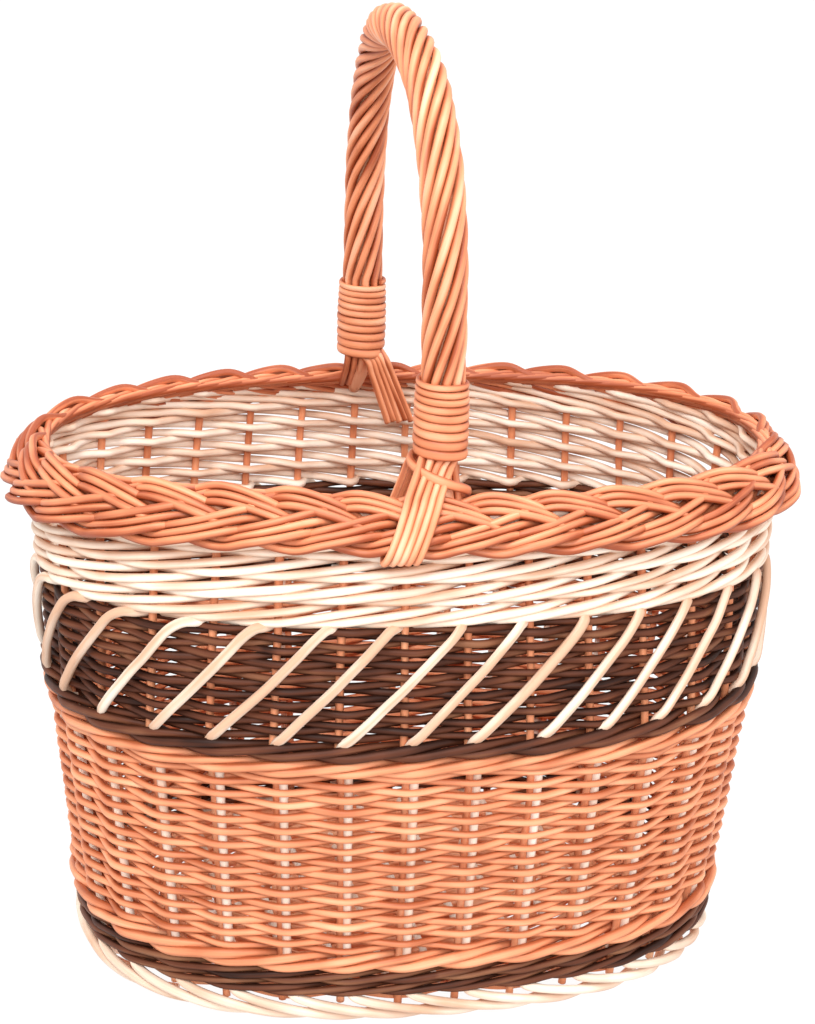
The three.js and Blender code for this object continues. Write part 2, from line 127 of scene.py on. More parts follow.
# Wales: stakes along, part of the way out, part of the lift
WALE_RODS = 3
WALE_PATH = (
    (-0.5, -1.0, 0.0), (0.0, 0.12, -0.5), (0.5, 0.95, -0.5), (1.0, 1.0, 0.0), (1.5, 0.95, 0.5),
    (2.0, 0.12, 0.5), (2.5, -1.0, 0.0), (3.0, 0.12, -0.5), (3.5, 0.95, -0.5))
WALE_LENGTHS = 9
WALE_OUT_DRIFT = (0.1, 180)
WALE_Z_DRIFT = (0.2, 120)
WALE_THICKNESS = (0.07, 36)
WALE_SQUEEZE_AT = (-0.2, 0.9)
WALE_SQUEEZE = (0.84, 1.04)
BOTTOM_WALE_RADIUS = 1.87
LOWER_WALE_RADIUS = 2.6
UPPER_WALE_RADIUS = 2.3
MID_WALE_RADIUS = 2.35
MID_WALE_PROUD = 2.0

# Slanting part of a cream rod: stakes along, height, distance out
DIAGONAL_RADIUS = 2.6
DIAGONAL_OUT = 8.4
DIAGONAL_REACH = (1.25, 0.4)
DIAGONAL_REACH_SPREAD = 0.06
DIAGONAL_ROUNDING = 1.5
DIAGONAL_START = -0.05
DIAGONAL_START_SPREAD = 0.05
DIAGONAL_ROOT = ((-0.02, -9.0, 1.4), (0.0, -5.0, 2.6), (0.03, -1.0, 4.4))
DIAGONAL_LEAD = 0.05
DIAGONAL_PARTS = (0.06, 0.95, 7)
DIAGONAL_FOOT_BEND = 1.8
DIAGONAL_TOP_BEND = 2.4
DIAGONAL_TOP_GAP = 1.0
DIAGONAL_SPREAD = 0.01
DIAGONAL_TUCK = ((0.3, 0.2, 5.2), (0.65, 0.5, 3.2))
TUCK_GAP = 0.1

# Woven part of a cream rod: stakes along, part of the way out, part of the spread
CREAM_RADIUS = 2.35
CREAM_WEAVE = (
    (0.0, -1.0, 0.0), (0.5, 0.18, 0.0), (1.0, 0.93, -1.0), (1.5, 1.0, 0.0), (2.0, 0.93, 1.0),
    (2.5, 0.06, 0.0), (3.0, -1.0, 0.0))
CREAM_CLIMB = 12
CREAM_RUN_ON = 3.8
CREAM_STEP = 0.1
CREAM_LEAVE = 0.6
CREAM_END_OUT = 0.1
CREAM_SMOOTHING = 4
CREAM_THINNING = (-2, 4)
CREAM_TURNING = (-3, 1)
CREAM_SPREAD = 0.45
CREAM_LIFT = 0.6
FIRST_STAKE = 1.86
# painted shade: cream rods are darker where they pass inside the stakes, in the basket's shaded inside
INNER_SHADE = -0.2
INNER_SIDE = (-1, 0.2)
CREAM_TONE = (0.15, 0.9)
CREAM_Z_DRIFT = (0.3, 16)
CREAM_THICKNESS = (0.04, 14)
CREAM_TONE_DRIFT = (0.1, 12)

# Border: five strands of three rods, over two and under two
PLAIT_PERIODS = 6
PLAIT_STRANDS = 5
PLAIT_POINTS = 80
PLAIT_SWING = 11.0
PLAIT_SQUARENESS = 0.04
PLAIT_LIFT = 4.3
PLAIT_SHARPNESS = 1.7
PLAIT_RADIUS = 2.2
PLAIT_PITCH = 4.25
PLAIT_LEAD = 0.19
PLAIT_LEAN = 1.3
PLAIT_SHIFT_DRIFT = (0.2, 50)
PLAIT_RISE_DRIFT = (0.2, 60)
PLAIT_THICKNESS = (0.05, 30)
PLAIT_TONE = (0.05, 0.5)
PLAIT_TONE_DRIFT = (0.12, 40)
BORDER_TILT = np.radians(40.0)
BORDER_END_TILT = np.radians(58.0)
BORDER_OUT = 5.0
BORDER_END_OUT = 8.0
BORDER_Z = 280.3

# Rods under the border's inner edge: crests along, way down the plait, height over its middle
CRESTS = 30
CREST_RODS = (0.0, 0.45)
CREST_PATH = (
    (-0.75, -5.0, -2.0), (-0.4, -10.6, -0.4), (-0.1, -14.2, -1.4), (0.25, -15.3, -3.6), (0.7, -14.9, -4.6),
    (1.2, -14.0, -4.6), (1.8, -12.0, -4.2), (2.4, -8.6, -3.6))
CREST_SPREAD = 0.04
CREST_THICKNESS = (0.04, 8)
CREST_TONE = (0.2, 0.5)

# Line of the handle
LEG_X = {-1: -7.0, 1: -6.0}
LEG_LEAN = 0.4
LEG_PART = 0.12
SHOULDER_PART = 0.3
LEG_SPAN = 110.0
LEG_POINTS = 40
ARCH_X = -13.0
ARCH_SHOULDER_X = -8.6
ARCH_Z = 390.0
ARCH_RISE = 119.0
ARCH_POINTS = 400
LEAN_STEPS = 20

# Windings at the handle's feet; the strap goes by degrees round the leg, radius and fall
WHIP_TOP = {-1: 351.0, 1: 350.0}
WHIP_BOTTOM = {-1: 311.5, 1: 308.0}
WHIP_TURNS = {-1: 9, 1: 10}
WHIP_RADIUS = 12.4
WHIP_FLAT = 1.05
WHIP_STEPS = 48
WHIP_PITCHES = (0.78, 1.22)
WHIP_START = 0.75
WHIP_INSET = 1.7
WHIP_FLARE = 0.5
WHIP_BELLY = 0.5
WHIP_SWELL_DRIFT = (0.08, 40)
WHIP_Z_DRIFT = (0.1, 40)
WHIP_TONE = 0.6
WHIP_TONE_DRIFT = (0.15, 30)
STRAP_PATH = (
    (-112, 14.6, 2.6), (-85, 15.4, 3.8), (-55, 15.9, 5.8), (-25, 16.2, 8.6), (5, 16.3, 11.8),
    (35, 16.2, 15.0), (60, 15.6, 18.2), (80, 14.6, 21.4), (98, 12.6, 24.0), (116, 10.0, 25.6))
STRAP_STEPS = 10
STRAP_LEAD = slice(-14, None, 6)
STRAP_CUT = 24
STRAP_HALF_WIDTH = 1.9
STRAP_NARROWING = 0.35
STRAP_PARTS = (0.0, 0.15, 1.0)
STRAP_THICKNESS = (WHIP_FLAT, 1.9, 1.5)

# Core of the handle: distance out, height over the border, radius; its foot rods: distance out, height
BOW_RADIUS = 6.4
BOW_POINTS = 120
BOW_FOOT = ((18.0, -2.0, 3.2), (13.5, 2.5, 4.2), (7.0, 10.0, 5.4), (2.0, 18.0, 6.2))
BOW_SPLICE = 12.0
CORE_RODS = 3
CORE_ROD_X = -8.6
CORE_ROD_PATH = ((-6.5, 5.0), (-6.5, -3.0), (-2.5, -11.0), (4.0, -18.0))
CORE_ROD_END = (11.5, 3.0)

# Rods wound round the core
ROD_COUNT = 10
ROD_RADIUS = 2.45
ROPE_RADIUS = 9.0
ROPE_POINTS = 240
TWIST_SLOTS = 31
TWIST_PARTS = (0.0, 0.2, 0.5, 0.8, 1.0)
TWIST_PACE = (0.74, 0.84, 1.3, 1.02, 0.74)
ROPE_TURN_DRIFT = (0.05, 14)
ROPE_REACH_DRIFT = (0.14, 20)
ROPE_THICKNESS = (0.03, 20)
ROPE_TONE = (0.25, 0.5)
ROPE_TONE_STEP = 0.618
ROPE_TONE_DRIFT = (0.06, 12)
# painted light: handle rods get a paler tone towards the front foot, which the lamps light most
ROPE_PAINTED_LIGHT_AT = (0.0, 0.15, 0.4, 0.6)
ROPE_PAINTED_LIGHT = (0.45, 0.2, 0.17, 0.14)
FOOT_STEPS = 7
TAPER_START = 50
TAPER_LENGTH = 25

# Their ends: five go over the border and round its edge, five run down inside it
FOOT_ROD_RADIUS = 2.0
FOOT_ROD_PITCH = 4.0
FOOT_RODS = 5
MIDDLE_SLOT = 2
UNDER_WHIP_TOP = 8.0
OVER_WHIP_BOTTOM = 12.0
SPLAY_START = 3.0
OUTER_LEAN = 26.0
OUTER_SLOPE = 0.35
OUTER_RUN_ON = 1.1
OUTER_START = (9.6, -4.5)
FOOT_PROUD = PLAIT_LIFT + PLAIT_RADIUS + FOOT_ROD_RADIUS
FOOT_EDGE = PLAIT_SWING + PLAIT_PITCH + PLAIT_RADIUS + FOOT_ROD_RADIUS
OVER_BORDER = ((-14.0, -0.6), (-7.0, 0.2), (0.0, 0.2), (8.0, -0.4))
ROUND_EDGE = ((-2.2, 4.1), (-0.6, 0.0), (-2.8, -4.8), (-7.5, -7.6))
INNER_LEAN = 17.0
INNER_PARTS = (0.12, 1.0, 6)
INNER_END = -6.0
INNER_END_SPREAD = 1.5
INNER_X = 5.6
INNER_FAN = (0.66, 0.2)
INNER_OUT = (-1.2, 1.6)

# Bottom: crossing sticks, a fan of sticks at each end, and rings of rods
SLATH_GAP = 9.0
STICK_RADIUS = 2.4
LONG_STICKS = (-18.0, -6.0, 6.0, 18.0)
LONG_STICK_DROP = 1.2
LONG_STICK_POINTS = 40
CROSS_STICKS = 9
CROSS_REACH = 0.62
CROSS_STICK_LIFT = 1.4
CROSS_STICK_POINTS = 30
FAN_ANGLES = (-0.62, -0.31, 0.31, 0.62)
FAN_RADIUS = 2.2
FAN_TIP = (0.93, 1.1)
FAN_ROOT_REACH = 0.55
FAN_ROOT_Y = 12.0
FAN_POINTS = 20
BASE_GAP = 3.4
BASE_HEART = 1.5
BASE_RINGS = 30
BASE_RING_RADIUS = 2.25
BASE_WAVE = 1.9
BASE_STEPS_PER_STAKE = 8

# Camera of the photograph: place, azimuth, elevation and roll, then its picture in pixels
CAMERA_PLACE = (-288.3, -1333.3, 697.0)
CAMERA_ANGLES = (-12.2, 18.57, 1.88)
FOCAL_LENGTH = 2606.0
PICTURE_CENTRE = (405.1, 519.3)
PICTURE_SIZE = (815.0, 1024.0)
SENSOR_WIDTH = 36.0
CLIP_END = 50

# Willow: colours in shade, body and light, then roughness, gloss and spread of tone between rods
BUFF = ((172, 88, 50), (232, 150, 107), (246, 194, 154), 0.5, 0.4, 0.26)
HANDLE_BUFF = ((158, 73, 37), (230, 145, 102), (248, 202, 167), 0.45, 0.45, 0.35)
CREAM = ((212, 168, 138), (245, 223, 203), (252, 243, 231), 0.55, 0.4, 0.4)
BROWN = ((42, 18, 9), (97, 52, 33), (148, 100, 70), 0.5, 0.2, 0.5)
COLOUR_STOPS = (0.12, 0.5, 0.92)
FIBRE_STRETCH = (22, 620, 620)
FIBRE_DETAIL = 3.0
PATCH_SCALE = 26.0
PATCH_DETAIL = 2.0
STREAK = 0.36
PATCH = 0.9
# painted shade: darkens the colour where rods lie against each other
GROOVE_SHADE = -0.42
TONE_BASE = 0.05
SMOOTHER = 0.08
ROUGHER = 0.12
BUMP_STRENGTH = 0.35
BUMP_DEPTH = 0.0004

# Studio, in metres and watts: each light's name, place, target, size and power
FLOOR_SIZE = 12
FLOOR_COLOUR = (0.06, 0.06, 0.06, 1)
FLOOR_ROUGHNESS = 0.9
FLOOR_GLOW = 0.95
WHITE = (1, 1, 1, 1)
WORLD_STRENGTH = 1.0
LIGHTS = (
    ("key", (-0.9, -1.4, 2.0), (0, 0, 0.25), 1.0, 30),
    ("front", (-0.1, -2.2, 1.3), (0, 0, 0.25), 0.7, 21),
    ("top", (0.2, -0.1, 1.7), (0, 0.1, 0.2), 0.8, 9),
    ("fill", (1.6, -1.2, 1.1), (0, 0, 0.2), 1.4, 6))


# Wall
def between(z, foot, knee, top):
    """A size of the plan at a height, on straight lines from the foot over the knee to the rim."""
    low = foot + (knee - foot) * (z - BASE_Z) / (KNEE_Z - BASE_Z)
    high = knee + (top - knee) * (np.minimum(z, WALL_TOP) - KNEE_Z) / (WALL_TOP - KNEE_Z)
    return np.where(z < KNEE_Z, low, high)


def plan_at(angle, z):
    """Place and outward normal of the stake line at an angle and a height."""
    length = between(z, FOOT_HALF[0], KNEE_HALF[0], TOP_HALF[0])
    width = between(z, FOOT_HALF[1], KNEE_HALF[1], TOP_HALF[1])
    exponent = between(z, PLAN_EXPONENT, PLAN_EXPONENT, TOP_EXPONENT)
    cos, sin = np.cos(angle), np.sin(angle)
    reach = (np.abs(cos / length) ** exponent + np.abs(sin / width) ** exponent) ** (-1 / exponent)
    x, y = reach * cos, reach * sin
    nx = np.sign(x) * np.abs(x / length) ** (exponent - 1) / length
    ny = np.sign(y) * np.abs(y / width) ** (exponent - 1) / width
    size = np.hypot(nx, ny)
    return x, y, nx / size, ny / size


def share_table():
    """Share of the way round at each angle, so that the stakes can stand evenly."""
    angles = np.linspace(0, 2 * np.pi, PLAN_POINTS)
    x, y, _, _ = plan_at(angles, np.full_like(angles, KNEE_Z))
    lengths = np.concatenate([[0], np.cumsum(np.hypot(np.diff(x), np.diff(y)))])
    return lengths / lengths[-1], angles


SHARES, ANGLES = share_table()


def angle_at(stake):
    return np.interp((stake + STAKE_PHASE) / STAKES % 1.0, SHARES, ANGLES)


def cream_low(stake):
    """Height where the dark weave ends; at the back the cream weave has one round more."""
    _, y, _, _ = plan_at(angle_at(stake), np.full_like(stake, CREAM_Z, dtype=float))
    return CREAM_Z - CREAM_BACK_DROP / 2 * (1 + y / TOP_HALF[1])


def wall(stake, z, out=0.0):
    """Points of the wall: position counted in stakes round it, height, distance out from the stake line."""
    stake, z, out = np.broadcast_arrays(*(np.asarray(v, float) for v in (stake, z, out)))
    angle = angle_at(stake)
    x, y, nx, ny = plan_at(angle, z)
    settled = np.clip((z - CREAM_Z) / (WALL_TOP - CREAM_Z), 0, 1)
    corner = np.where((x < 0) & (y < 0), np.abs(np.sin(2 * angle)) ** CORNER_SHARPNESS, 0)
    rise = settled * (CORNER_RISE * corner - END_DIP * np.cos(angle) ** 2)
    return np.stack([x + nx * out, y + ny * out, z + rise], -1)


def wall_normal(stake, z):
    stake, z = np.broadcast_arrays(np.asarray(stake, float), np.asarray(z, float))
    _, _, nx, ny = plan_at(angle_at(stake), z)
    return np.stack([nx, ny, np.zeros_like(nx)], -1)


# Curves
def unit(v):
    return v / np.maximum(np.linalg.norm(v, axis=-1, keepdims=True), 1e-9)


def columns(table):
    return (np.array(column, float) for column in zip(*table))


def wander(count, size, knots, closed=False):
    """A slow random change along a rod."""
    values = rng.normal(0, size, knots)
    if closed:
        values[-1] = values[0]
    place = np.linspace(0, knots - 1, count)
    low = np.floor(place).astype(int).clip(0, knots - 2)
    part = place - low
    part = part * part * (3 - 2 * part)
    return values[low] * (1 - part) + values[low + 1] * part


def uneven(count, drift, closed=False):
    """A factor for the thickness of a rod that swells and thins along it."""
    return 1 + wander(count, *drift, closed)


def spline(points, per):
    """A smooth curve through control points."""
    p = np.asarray(points, float)
    p = np.concatenate([[2 * p[0] - p[1]], p, [2 * p[-1] - p[-2]]])
    out = []
    for i in range(1, len(p) - 2):
        a, b, c, d = p[i - 1:i + 3]
        ta, tb, tc = (np.sqrt(np.linalg.norm(gap)) + 1e-6 for gap in (b - a, c - b, d - c))
        m1 = (c - b) / tb - (c - a) / (ta + tb) + (b - a) / ta
        m2 = (c - b) / tb - (d - b) / (tb + tc) + (d - c) / tc
        m1, m2 = m1 * tb, m2 * tb
        t = np.linspace(0, 1, per, endpoint=False)[:, None]
        out.append((2 * t**3 - 3 * t**2 + 1) * b + (t**3 - 2 * t**2 + t) * m1
                   + (3 * t**2 - 2 * t**3) * c + (t**3 - t**2) * m2)
    out.append(p[-2][None])
    return np.concatenate(out)


def lengthwise(path, closed):
    """Direction of a path at each of its points, and its length up to there."""
    if closed:
        along = unit(np.roll(path, -1, 0) - np.roll(path, 1, 0))
        steps = np.linalg.norm(path - np.roll(path, 1, 0), axis=1)
        steps[0] = 0
    else:
        along = unit(np.gradient(path, axis=0))
        steps = np.concatenate([[0], np.linalg.norm(np.diff(path, axis=0), axis=1)])
    return along, np.cumsum(steps)


class Rods:
    """Collects tubes and makes one mesh of them, with a tone, a grain coordinate and a painted groove shade
    on every point.
    """

    def __init__(self, sides=SIDES):
        self.sides = sides
        self.points, self.grain, self.tone, self.groove = [], [], [], []
        self.quads, self.caps = [], []
        self.count = 0

    def add(self, path, radius, guide, closed=False, tone=None, wide=None, touch=""):
        """One tube; guide is the way its thickness faces, touch tells which sides lie against others and get
        painted shade.
        """
        path = np.asarray(path, float)
        n, sides = len(path), self.sides
        along, length = lengthwise(path, closed)
        side = unit(np.cross(along, np.broadcast_to(np.asarray(guide, float), path.shape)))
        face = np.cross(side, along)
        thick = np.broadcast_to(np.asarray(radius, float), (n,))
        broad = thick if wide is None else np.broadcast_to(np.asarray(wide, float), (n,))
        angle = np.arange(sides) * 2 * np.pi / sides
        ring = (path[:, None] + face[:, None] * (thick[:, None] * np.cos(angle))[..., None]
                + side[:, None] * (broad[:, None] * np.sin(angle))[..., None])
        grain = np.stack([np.broadcast_to(length[:, None], (n, sides)),
                          np.broadcast_to(np.cos(angle) * thick.mean(), (n, sides)),
                          np.broadcast_to(np.sin(angle) * thick.mean(), (n, sides))], -1)
        grain = grain + rng.uniform(0, GRAIN_SPAN, 3)
        tone = rng.uniform(0, 1) if tone is None else tone
        # painted shade: the sides that lie against other rods get a groove value that darkens their colour
        buried = {"": 0 * angle, "above": np.abs(np.cos(angle)), "beside": np.abs(np.sin(angle))}[touch]
        self.points.append(ring.reshape(-1, 3))
        self.grain.append(grain.reshape(-1, 3))
        self.tone.append(np.repeat(np.broadcast_to(np.asarray(tone, float), (n,)), sides))
        self.groove.append(np.tile(buried ** GROOVE_SHARPNESS, n))
        self.add_faces(n, closed)
        self.count += n * sides

    def add_faces(self, n, closed):
        sides = self.sides
        i = np.arange(n if closed else n - 1)[:, None]
        j = np.arange(sides)[None]
        a = i * sides + j
        b = i * sides + (j + 1) % sides
        c = ((i + 1) % n) * sides + (j + 1) % sides
        d = ((i + 1) % n) * sides + j
        self.quads.append(np.stack([a, b, c, d], -1).reshape(-1, 4) + self.count)
        if not closed:
            self.caps.append(np.arange(sides)[::-1] + self.count)
            self.caps.append(np.arange(sides) + (n - 1) * sides + self.count)

    def mesh(self, name):
        points = np.concatenate(self.points) * MM
        quads = np.concatenate(self.quads)
        caps = np.array(self.caps, int).reshape(-1, self.sides)
        loops = np.concatenate([quads.ravel(), caps.ravel()]).astype(np.int32)
        cap_starts = len(quads) * 4 + np.arange(len(caps)) * self.sides
        starts = np.concatenate([np.arange(len(quads)) * 4, cap_starts])
        smooth = np.ones(len(starts), bool)
        smooth[len(quads):] = False
        mesh = bpy.data.meshes.new(name)
        mesh.vertices.add(len(points))
        mesh.vertices.foreach_set("co", points.astype(np.float32).ravel())
        mesh.loops.add(len(loops))
        mesh.loops.foreach_set("vertex_index", loops)
        mesh.polygons.add(len(starts))
        mesh.polygons.foreach_set("loop_start", starts.astype(np.int32))
        mesh.update(calc_edges=True)
        mesh.polygons.foreach_set("use_smooth", smooth)
        grain = mesh.attributes.new("grain", "FLOAT_VECTOR", "POINT")
        grain.data.foreach_set("vector", (np.concatenate(self.grain) * MM).astype(np.float32).ravel())
        for label, values in (("tone", self.tone), ("groove", self.groove)):
            attribute = mesh.attributes.new(label, "FLOAT", "POINT")
            attribute.data.foreach_set("value", np.concatenate(values).astype(np.float32))
        mesh.validate()
        return mesh

    def build(self, name, material, slot, *nodes):
        mesh = self.mesh(name)
        piece = bpy.data.objects.new(name, mesh)
        bpy.context.scene.collection.objects.link(piece)
        mesh.materials.append(material)
        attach(piece, "root")
        if nodes:
            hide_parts(*nodes)


# Camera
def camera_axes():
    """The way the camera looks, its right and its up, turned so that the picture's middle is its own."""
    azimuth, elevation, roll = np.radians(CAMERA_ANGLES)
    level = np.cos(elevation)
    forward = Vector((-np.sin(azimuth) * level, np.cos(azimuth) * level, -np.sin(elevation)))
    right = Vector((np.cos(azimuth), np.sin(azimuth), 0))
    up = right.cross(forward)
    right, up = (right * np.cos(roll) + up * np.sin(roll), up * np.cos(roll) - right * np.sin(roll))
    across = (PICTURE_SIZE[0] / 2 - PICTURE_CENTRE[0]) / FOCAL_LENGTH
    below = (PICTURE_SIZE[1] / 2 - PICTURE_CENTRE[1]) / FOCAL_LENGTH
    forward = forward + right * across - up * below
    forward.normalize()
    right = (right - forward * right.dot(forward)).normalized()
    return forward, right, right.cross(forward)


def aim_camera():
    place = Vector(CAMERA_PLACE) * MM
    forward, right, up = camera_axes()
    data = bpy.data.cameras.new("photo_camera")
    data.sensor_fit = "HORIZONTAL"
    data.sensor_width = SENSOR_WIDTH
    data.lens = FOCAL_LENGTH / PICTURE_SIZE[0] * data.sensor_width
    data.clip_end = CLIP_END
    camera = bpy.data.objects.new("photo_camera", data)
    camera.matrix_world = Matrix((
        (right.x, up.x, -forward.x, place.x),
        (right.y, up.y, -forward.y, place.y),
        (right.z, up.z, -forward.z, place.z),
        (0, 0, 0, 1)))
    bpy.context.scene.collection.objects.link(camera)
    bpy.context.scene.camera = camera


# Materials
def srgb(values):
    return tuple(((v / 255 + 0.055) / 1.055) ** 2.4 if v > 10 else v / 255 / 12.92 for v in values)


class Shading:
    """Short ways to add the nodes that a willow material needs."""

    def __init__(self, material):
        self.nodes = material.node_tree.nodes
        self.links = material.node_tree.links

    def attribute(self, name, output):
        node = self.nodes.new("ShaderNodeAttribute")
        node.attribute_name = name
        return node.outputs[output]

    def noise(self, vector, scale, detail):
        node = self.nodes.new("ShaderNodeTexNoise")
        node.inputs["Scale"].default_value = scale
        node.inputs["Detail"].default_value = detail
        self.links.new(vector, node.inputs["Vector"])
        return node.outputs["Fac"]

    def stretched(self, vector, scale):
        node = self.nodes.new("ShaderNodeMapping")
        node.inputs["Scale"].default_value = scale
        self.links.new(vector, node.inputs["Vector"])
        return node.outputs["Vector"]

    def add_share(self, value, share, rest):
        """A share of one value on top of another, which is a socket or a plain number."""
        node = self.nodes.new("ShaderNodeMath")
        node.operation = "MULTIPLY_ADD"
        node.inputs[1].default_value = share
        self.links.new(value, node.inputs[0])
        if isinstance(rest, float):
            node.inputs[2].default_value = rest
        else:
            self.links.new(rest, node.inputs[2])
        return node.outputs[0]

    def colours(self, value, tones):
        node = self.nodes.new("ShaderNodeValToRGB")
        stops = node.color_ramp.elements
        stops[0].position, stops[1].position = COLOUR_STOPS[0], COLOUR_STOPS[2]
        stops.new(COLOUR_STOPS[1])
        for stop, tone in zip(stops, tones):
            stop.color = (*srgb(tone), 1)
        self.links.new(value, node.inputs["Fac"])
        return node.outputs["Color"]

    def ranged(self, value, low, high):
        node = self.nodes.new("ShaderNodeMapRange")
        node.inputs["To Min"].default_value = low
        node.inputs["To Max"].default_value = high
        self.links.new(value, node.inputs["Value"])
        return node.outputs["Result"]

    def bump(self, height):
        node = self.nodes.new("ShaderNodeBump")
        node.inputs["Strength"].default_value = BUMP_STRENGTH
        node.inputs["Distance"].default_value = BUMP_DEPTH
        self.links.new(height, node.inputs["Height"])
        return node.outputs["Normal"]


def willow(name, shade, body, light, roughness, gloss, spread):
    """Willow: streaks along the rod, a tone of its own on each rod, painted shade in the grooves where rods
    lie against each other.
    """
    material = bpy.data.materials.new(name)
    material.use_nodes = True
    shading = Shading(material)
    shader = shading.nodes["Principled BSDF"]
    grain = shading.attribute("grain", "Vector")
    fibres = shading.noise(shading.stretched(grain, FIBRE_STRETCH), 1.0, FIBRE_DETAIL)
    patches = shading.noise(grain, PATCH_SCALE, PATCH_DETAIL)
    own = shading.add_share(shading.attribute("tone", "Fac"), spread, TONE_BASE - 0.5 * STREAK - 0.5 * spread)
    patched = shading.add_share(patches, PATCH, own)
    # painted shade in the grooves between rods
    groove_shaded = shading.add_share(shading.attribute("groove", "Fac"), GROOVE_SHADE, patched)
    colour = shading.colours(shading.add_share(fibres, STREAK, groove_shaded), (shade, body, light))
    rough = shading.ranged(fibres, roughness - SMOOTHER, roughness + ROUGHER)
    shading.links.new(colour, shader.inputs["Base Color"])
    shading.links.new(rough, shader.inputs["Roughness"])
    shading.links.new(shading.bump(fibres), shader.inputs["Normal"])
    shader.inputs["Specular IOR Level"].default_value = gloss
    return material


# Stakes and liners
def make_stakes(material):
    rods = Rods()
    z = np.concatenate([[BASE_Z] * len(STAKE_ENTRY),
                        np.linspace(BASE_Z + STAKE_START, WALL_TOP + STAKE_RUN_ON, STAKE_POINTS)])
    out = np.concatenate([STAKE_ENTRY, np.zeros(STAKE_POINTS)])
    side = np.interp(z, STAKE_SIDE_Z, STAKE_SIDE)
    inward = np.interp(z, STAKE_SIDE_Z[:2], (STAKE_IN, 0))
    for i in range(STAKES):
        sway = wander(len(z), *STAKE_SWAY)
        across = np.cross(UP, wall_normal(i, KNEE_Z))
        path = wall(i, z, out + inward) + across * (side + sway)[:, None]
        path = spline(path[::2], STAKE_SMOOTHING)
        tone = np.interp(path[:, 2], STAKE_TONE_Z, STAKE_TONE) + rng.uniform(*STAKE_TONE_SPREAD)
        rods.add(path, STAKE_RADIUS * uneven(len(path), STAKE_THICKNESS), across, tone=tone)
        tip = STUB_Z + rng.uniform(-STUB_SPREAD, STUB_SPREAD)
        stub = wall(i, np.linspace(tip, BASE_Z + STUB_RISE, STUB_POINTS), STAKE_IN)
        rods.add(stub + across * STAKE_SIDE[0], STAKE_RADIUS, across)
    rods.build("stakes", material, "willow_buff", *[f"stake_{i + 1:02d}" for i in range(STAKES)])


def make_liners_and_foot(material):
    """Cream rods that line the stakes, come down through the bottom weave and roll into the foot."""
    rods = Rods()
    stake, z, out = columns(LINER_PATH)
    fade = np.interp(z, FOOT_FADE_Z, (0, 1))
    for i in range(STAKES):
        across = np.cross(UP, wall_normal(i, KNEE_Z))
        shift = LINER_SIDE * fade + wander(len(z), *LINER_SWAY)
        path = spline(wall(i + stake, z, out) + across * shift[:, None], SPLINE_STEPS)
        swell = np.interp(path[:, 2], FOOT_SWELL_Z, FOOT_SWELL)
        path[:, 2] = np.maximum(path[:, 2], LINER_RADIUS * FOOT_CLEARANCE)
        radius = LINER_RADIUS * swell * uneven(len(path), LINER_THICKNESS)
        own = rng.uniform(-FOOT_TONE_SPREAD, FOOT_TONE_SPREAD)
        # painted light and shade: darker low in the foot, lighter along the recessed liners
        tone = np.interp(path[:, 2], FOOT_TONE_Z, FOOT_TONE) + own
        rods.add(path, radius, unit(path * (1, 1, 0)), tone=tone)
    rods.build("foot_border", material, "willow_cream", "foot_border")


# Woven bands
def ring_stations(turns=1, steps=STEPS_PER_STAKE):
    """Positions along a ring, counted in stakes."""
    return np.arange(turns * STAKES * steps) / steps


def ring_tone(count, lengths=2):
    """Tone of a ring made of a few rods laid end to end."""
    tone = np.full(count, rng.uniform(*RING_TONE))
    joints = np.sort(rng.choice(count, lengths, replace=False))
    for start, end in zip(joints[:-1], joints[1:]):
        tone[start:end] = rng.uniform(*RING_TONE)
    return tone


def randing(rods, low, high, rows, radius, out_side, in_side, z_drift):
    """Plain weaving: each row passes outside one stake and inside the next."""
    stations = ring_stations()
    count = len(stations)
    pitch = (high - low) / rows
    middle = (out_side + in_side) / 2
    for row in range(rows):
        turn = np.pi * (stations + row)
        wave = (np.cos(turn) + RANDING_SQUARENESS * np.cos(3 * turn)) / (1 + RANDING_SQUARENESS)
        out = middle + wave * (out_side - in_side) / 2 + wander(count, *RANDING_OUT_DRIFT, closed=True)
        z = low + pitch * (row + 0.5) + wander(count, *z_drift, closed=True)
        squeeze = 1 - RANDING_SQUEEZE + RANDING_SQUEEZE * np.abs(wave)
        thickness = radius * uneven(count, RANDING_THICKNESS, closed=True) * squeeze
        rods.add(wall(stations, z, out), thickness, UP, closed=True, tone=ring_tone(count), touch="above")


def wale(rods, z, radius, out_side, in_side, phase):
    """Three rods worked together: each passes outside two stakes and inside one, rising as it goes.

    As the number of stakes isn't a multiple of three, they make one line that closes after three turns."""
    stations = ring_stations(WALE_RODS)
    count = len(stations)
    curve = spline(WALE_PATH, CURVE_STEPS)
    t = (stations + phase + 0.5) % WALE_RODS
    way_out = np.interp(t, curve[:, 0], curve[:, 1])
    rise = np.interp(t, curve[:, 0], curve[:, 2])
    middle, half = (out_side + in_side) / 2, (out_side - in_side) / 2
    out = middle + way_out * half + wander(count, *WALE_OUT_DRIFT, closed=True)
    height = z + rise * 2 * radius + wander(count, *WALE_Z_DRIFT, closed=True)
    squeeze = np.interp(way_out, WALE_SQUEEZE_AT, WALE_SQUEEZE)
    thickness = radius * uneven(count, WALE_THICKNESS, closed=True) * squeeze
    tone = ring_tone(count, WALE_LENGTHS)
    rods.add(wall(stations, height, out), thickness, UP, closed=True, tone=tone, touch="above")


